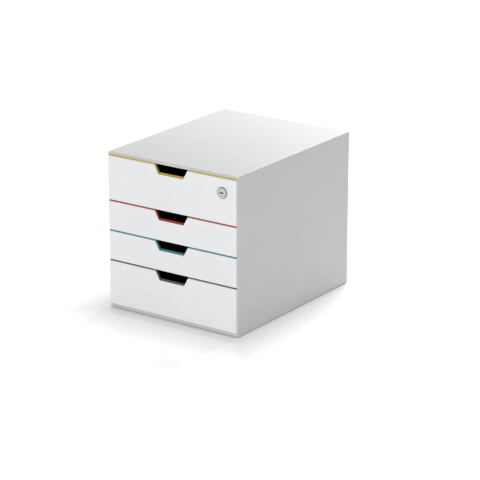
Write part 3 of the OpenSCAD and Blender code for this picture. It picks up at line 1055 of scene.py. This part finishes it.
@dataclass
class CamLock:
    """The cam lock's visible pieces: body with bevelled ring, and plug with keyway."""

    ring: float = 10.25 * MM
    ring_height: float = 2 * MM
    bevel: float = 1.1 * MM
    body: float = 8 * MM
    flats: float = 13.6 * MM
    bore: float = 5.78 * MM
    head: float = 6.5 * MM
    head_gap: float = 0.12 * MM
    head_height: float = 1.4 * MM
    head_inset: float = 0.3 * MM
    shaft: float = 5.7 * MM
    drive: float = 7 * MM
    key_width: float = 8.2 * MM
    key_height: float = 2.5 * MM
    key_depth: float = 11.6 * MM
    key_roundness: float = 0.98
    overlap: float = 0.15 * MM
    head_edge: float = 0.35 * MM
    facing: float = 0.97
    turned_sides: int = 128

    def __post_init__(self) -> None:
        """Takes the lock's axis from the frame."""
        self.low, self.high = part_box("lock_barrel")
        self.x = (self.low.x + self.high.x) / 2
        self.z = (self.low.z + self.high.z) / 2

    def gets_painted_shade(self, middle: Vector, normal: Vector) -> bool:
        """Whether a face, given by its middle and normal, doesn't look straight ahead, and so gets the dark
        nickel: a painted reflection on the bevel and painted shade in the gap round the plug.
        """
        return normal.y > -self.facing

    def in_keyway(self, middle: Vector, normal: Vector) -> bool:
        """Tells the keyway's walls and end from the other faces.

        Args:
            middle: A face's middle.
            normal: Its normal, which isn't needed.

        Returns:
            Whether the face lies in the keyway.
        """
        across, up = abs(middle.x - self.x), abs(middle.z - self.z)
        inside = across < self.key_width / 2 + EVEN and up < self.key_height / 2 + EVEN
        return inside and self.low.y < middle.y < self.low.y + self.key_depth + EVEN

    def barrel(self) -> bpy.types.Object:
        """Models the fixed body with its ring.

        Returns:
            The body.
        """
        face, rear = self.low.y, self.high.y
        plane = face + self.ring_height
        barrel = rod("lock_barrel_body", (self.x, face, self.z), self.ring, self.ring_height,
                     sides=self.turned_sides)
        round_edges(barrel, lambda at, way: self.bevel if abs(at.y - face) < EVEN else 0, segments=3)
        body = rod("body", (self.x, plane - self.overlap, self.z), self.body, rear - plane + self.overlap)
        combine(body, "INTERSECT", [block("flats", (self.x - self.body * 2, face, self.z - self.flats / 2),
                                          (self.x + self.body * 2, rear + MM, self.z + self.flats / 2))])
        weld(barrel, body)
        head = self.head + self.head_gap
        bottom = face + self.head_inset + self.head_height + self.head_gap
        carve(
            barrel,
            rod("bore", (self.x, face - MM, self.z), self.bore, rear - face + 2 * MM),
            rod("counterbore", (self.x, face - MM, self.z), head, bottom - face + MM),
        )
        return smooth(barrel)

    def keyway(self) -> bpy.types.Object:
        """Makes the keyway as a solid: a level slot with round ends.

        Returns:
            The solid.
        """
        near, far = self.low.y - MM, self.low.y + self.key_depth
        half_width, half_height = self.key_width / 2, self.key_height / 2
        slot = block("keyway", (self.x - half_width, near, self.z - half_height),
                     (self.x + half_width, far, self.z + half_height))
        radius = half_height * self.key_roundness
        round_edges(slot, lambda at, way: radius if along(way, 1) else 0, segments=6)
        return slot

    def plug(self) -> bpy.types.Object:
        """Models the turning plug: rounded head, shaft, square end and keyway.

        Returns:
            The plug.
        """
        low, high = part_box("lock_plug")
        cam_low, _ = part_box("lock_cam")
        plug = rod("lock_plug_core", (self.x, low.y, self.z), self.head, self.head_height,
                   sides=self.turned_sides)
        round_edges(plug, lambda at, way: self.head_edge if abs(at.y - low.y) < EVEN else 0, segments=3)
        start = low.y + self.head_height / 2
        weld(plug, rod("shaft", (self.x, start, self.z), self.shaft, cam_low.y - start))
        half = self.drive / 2
        weld(plug, block("drive", (self.x - half, cam_low.y - MM, self.z - half),
                         (self.x + half, high.y, self.z + half)))
        carve(plug, self.keyway())
        return smooth(plug)

    def build(self) -> None:
        """Models and dresses the lock's visible pieces."""
        made = (
            (self.barrel(), "drawer_1", "lock_barrel"),
            (self.plug(), "lock_rotor", "lock_plug"),
        )
        for piece, body, node in made:
            Finish.NICKEL.dress(piece)
            # faces that don't look straight ahead get the dark nickel, a painted reflection and painted shade
            Finish.NICKEL_EDGE.dress_faces(piece, self.gets_painted_shade)
            # the keyway's faces get charcoal, painted shade
            Finish.KEYWAY.dress_faces(piece, self.in_keyway)
            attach(piece, body)
            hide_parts(node)
            log.info("%s: %d faces", piece.name, len(piece.data.polygons))


# ---------------------------------------------------------------------------------------------
# The studio
# ---------------------------------------------------------------------------------------------


@dataclass(frozen=True)
class Softbox:
    """A square area light that faces a point."""

    name: str
    place: tuple[float, float, float]
    size: float
    watts: float

    def build(self, target: Vector) -> None:
        """Adds the light.

        Args:
            target: The point that it faces.
        """
        lamp = bpy.data.lights.new(self.name, "AREA")
        lamp.shape = "SQUARE"
        lamp.size = self.size
        lamp.energy = self.watts
        holder = bpy.data.objects.new(self.name, lamp)
        bpy.context.scene.collection.objects.link(holder)
        holder.location = self.place
        holder.rotation_mode = "QUATERNION"
        holder.rotation_quaternion = (target - Vector(self.place)).to_track_quat("-Z", "Y")


@dataclass
class Studio:
    """The camera at the photograph's angle, the pale floor, the soft lights and the world.

    The camera's numbers come from a fit to the corners of the box's outline in the photograph. The
    lights, the tints and the floor's lift were then set by comparing renders with it.
    """

    azimuth: float = 35.04
    elevation: float = 18.39
    distance: float = 3.976
    focal_pixels: float = 2196.5
    sensor: float = 36.0
    far_clip: float = 50
    aim: tuple[float, float, float] = (0.0225, 0.0, 0.11)
    floor_half: float = 6.0
    floor_roughness: float = 0.16
    floor_specular: float = 0.4
    floor_lift: float = 0.32
    floor_fade: float = 0.11
    world_strength: float = 0.56
    seen_strength: float = 1.0
    lights: tuple[Softbox, ...] = (
        Softbox("front_box", (0.6, -2.9, 0.8), 1.8, 30),
        Softbox("back_box", (-0.02, 0.79, 1.0), 0.5, 9.7),
        Softbox("right_box", (1.3, 0.1, 1.2), 1.2, 1.6),
    )

    def camera(self) -> None:
        """Adds the camera and makes it the scene's."""
        azimuth, elevation = math.radians(self.azimuth), math.radians(self.elevation)
        back = Vector((math.sin(azimuth) * math.cos(elevation), -math.cos(azimuth) * math.cos(elevation),
                       math.sin(elevation)))
        lens = bpy.data.cameras.new("photo_camera")
        lens.sensor_width = self.sensor
        lens.lens = self.focal_pixels * self.sensor / PHOTO_SIDE
        lens.clip_end = self.far_clip
        holder = bpy.data.objects.new("photo_camera", lens)
        bpy.context.scene.collection.objects.link(holder)
        holder.location = Vector(self.aim) + back * self.distance
        holder.rotation_mode = "QUATERNION"
        holder.rotation_quaternion = (-back).to_track_quat("-Z", "Y")
        bpy.context.scene.camera = holder

    def floor(self) -> None:
        """Adds the pale floor, which glows faintly away from the box for the camera and reflections."""
        _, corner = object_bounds()
        bpy.ops.object.select_all(action="DESELECT")
        bpy.ops.mesh.primitive_plane_add(size=2 * self.floor_half)
        floor = settle("studio_floor")
        shader = Shader("floor_board")
        surface, tree = shader.surface, shader.tree
        surface.inputs["Base Color"].default_value = Tint.FLOOR.rgba
        surface.inputs["Roughness"].default_value = self.floor_roughness
        surface.inputs["Specular IOR Level"].default_value = self.floor_specular
        surface.inputs["Emission Color"].default_value = WHITE
        path = tree.nodes.new("ShaderNodeLightPath")
        seen = shader.maths("MAXIMUM", path.outputs["Is Camera Ray"], path.outputs["Is Glossy Ray"])
        fade = tree.nodes.new("ShaderNodeMapRange")
        fade.inputs["From Max"].default_value = self.floor_fade
        fade.inputs["To Max"].default_value = self.floor_lift
        shader.link(shader.distance(corner), fade.inputs["Value"])
        shown = shader.maths("MULTIPLY", seen, fade.outputs["Result"])
        shader.link(shown, surface.inputs["Emission Strength"])
        floor.data.materials.append(shader.material)
        floor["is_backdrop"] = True

    def world(self) -> None:
        """Sets the plain pale world, which the camera and reflections see as white."""
        world = bpy.data.worlds.new("studio")
        world.use_nodes = True
        tree = world.node_tree
        tree.nodes.clear()
        output = tree.nodes.new("ShaderNodeOutputWorld")
        light = tree.nodes.new("ShaderNodeBackground")
        light.inputs["Strength"].default_value = self.world_strength
        seen = tree.nodes.new("ShaderNodeBackground")
        seen.inputs["Strength"].default_value = self.seen_strength
        path = tree.nodes.new("ShaderNodeLightPath")
        either = tree.nodes.new("ShaderNodeMath")
        either.operation = "MAXIMUM"
        tree.links.new(path.outputs["Is Camera Ray"], either.inputs[0])
        tree.links.new(path.outputs["Is Glossy Ray"], either.inputs[1])
        mix = tree.nodes.new("ShaderNodeMixShader")
        tree.links.new(either.outputs[0], mix.inputs["Fac"])
        tree.links.new(light.outputs[0], mix.inputs[1])
        tree.links.new(seen.outputs[0], mix.inputs[2])
        tree.links.new(mix.outputs[0], output.inputs["Surface"])
        for node in (light, seen):
            node.inputs["Color"].default_value = WHITE
        bpy.context.scene.world = world

    def build(self) -> None:
        """Sets up everything round the box."""
        bpy.context.scene.view_settings.view_transform = "Standard"
        self.camera()
        self.floor()
        self.world()
        for light in self.lights:
            light.build(Vector(self.aim))
        log.info("studio: %d lights", len(self.lights))


def main() -> None:
    """Builds the box and its studio."""
    logging.basicConfig(level=logging.INFO, format="%(name)s: %(message)s")
    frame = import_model()
    Studio().build()
    Casing().build()
    Feet().build()
    Fittings(frame["nodes"]).build()
    for number, finish in zip(Drawer.numbers, (Finish.YELLOW, Finish.RED, Finish.TEAL, Finish.SLATE)):
        Drawer(number, finish).build()
    CamLock().build()


if __name__ == "__main__":
    main()
